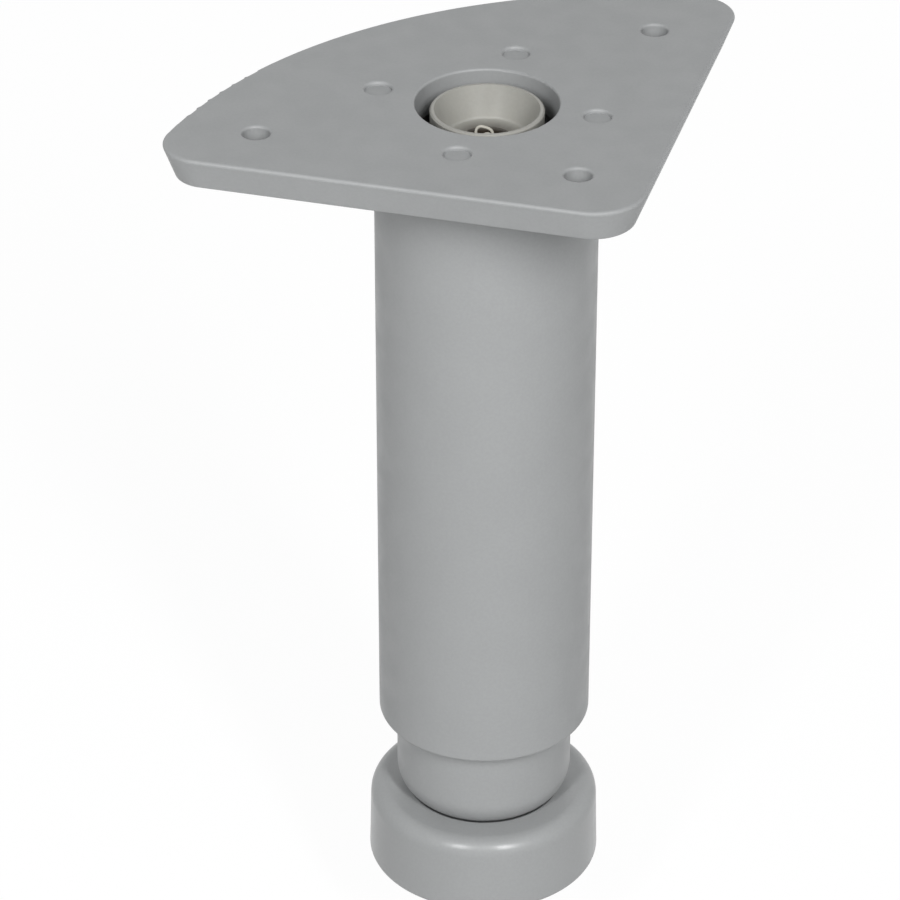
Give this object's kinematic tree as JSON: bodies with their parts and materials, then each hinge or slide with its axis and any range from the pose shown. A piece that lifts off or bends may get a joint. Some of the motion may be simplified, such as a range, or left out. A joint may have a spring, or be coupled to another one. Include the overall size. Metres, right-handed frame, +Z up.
{
  "type": "furniture leg",
  "caption": "Height-adjustable corner leg for cabinets: quarter-round mounting plate, round tube, and a threaded stem with a swivelling foot.",
  "frame": {"origin": "floor level under the foot, on the axis of the tube", "axes": "+Z up along the tube to the mounting plate; the plate's straight edges lie along X and Y, and their corner points to +X and -Y"},
  "size_m": [0.0787, 0.08, 0.15],
  "materials": {
    "grey_plastic": "satin light grey moulding",
    "natural_plastic": "unpigmented moulding, faintly warm"
  },
  "bodies": {
    "leg": {"leg_body": "grey_plastic", "threaded_bush": "natural_plastic"},
    "foot": {"foot": "grey_plastic"},
    "stem": {"stem": "natural_plastic", "neck": "grey_plastic"}
  },
  "joints": [
    {"name": "foot_travel", "type": "slide", "parent": "leg", "child": "foot", "axis": [0, 0, -1], "range_m": [0, 0.02]},
    {"name": "stem_turn", "type": "hinge", "parent": "foot", "child": "stem", "pos_m": [0, 0, 0], "axis": [0, 0, -1], "range_deg": [0, 2400]}
  ],
  "couplings": [
    {"joint": "foot_travel", "follows": "stem_turn", "m_per_rad": 0.00047746}
  ]
}
